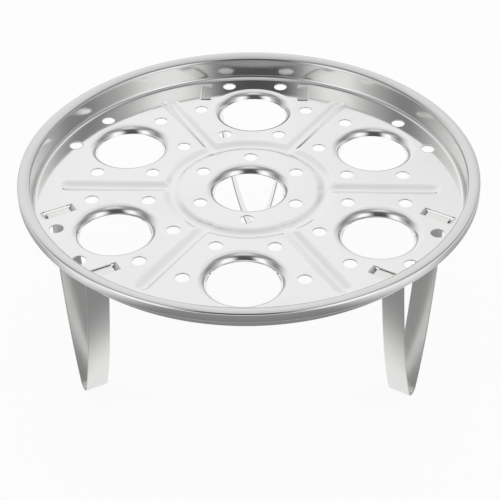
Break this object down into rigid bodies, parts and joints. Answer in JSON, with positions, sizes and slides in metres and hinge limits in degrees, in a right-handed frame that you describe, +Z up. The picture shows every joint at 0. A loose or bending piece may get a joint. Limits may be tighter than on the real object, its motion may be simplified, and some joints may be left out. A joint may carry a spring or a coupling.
{
  "type": "steamer rack",
  "caption": "Round pressed steel steaming rack with a rolled rim, perforated grooved plate and sprung strip legs that unhook from lanced loops.",
  "frame": {"origin": "on the surface that the rack stands on, below the middle of the plate", "axes": "+Z up, +Y towards the back leg, +X to the right"},
  "size_m": [0.26, 0.26, 0.1222],
  "materials": {
    "plate_steel": "bright rolled stainless steel, pressed",
    "leg_steel": "satin stainless steel strip"
  },
  "bodies": {
    "plate": {"rack_plate": "plate_steel"},
    "back_leg": {"leg_back": "leg_steel"},
    "left_leg": {"leg_left": "leg_steel"},
    "right_leg": {"leg_right": "leg_steel"}
  },
  "joints": [
    {"name": "back_leg_take_off", "type": "slide", "parent": "plate", "child": "back_leg", "axis": [0, 0, 1], "range_m": [-0.03, 0], "deforming": ["leg_back"]},
    {"name": "left_leg_take_off", "type": "slide", "parent": "plate", "child": "left_leg", "axis": [0, 0, 1], "range_m": [-0.03, 0], "deforming": ["leg_left"]},
    {"name": "right_leg_take_off", "type": "slide", "parent": "plate", "child": "right_leg", "axis": [0, 0, 1], "range_m": [-0.03, 0], "deforming": ["leg_right"]}
  ]
}
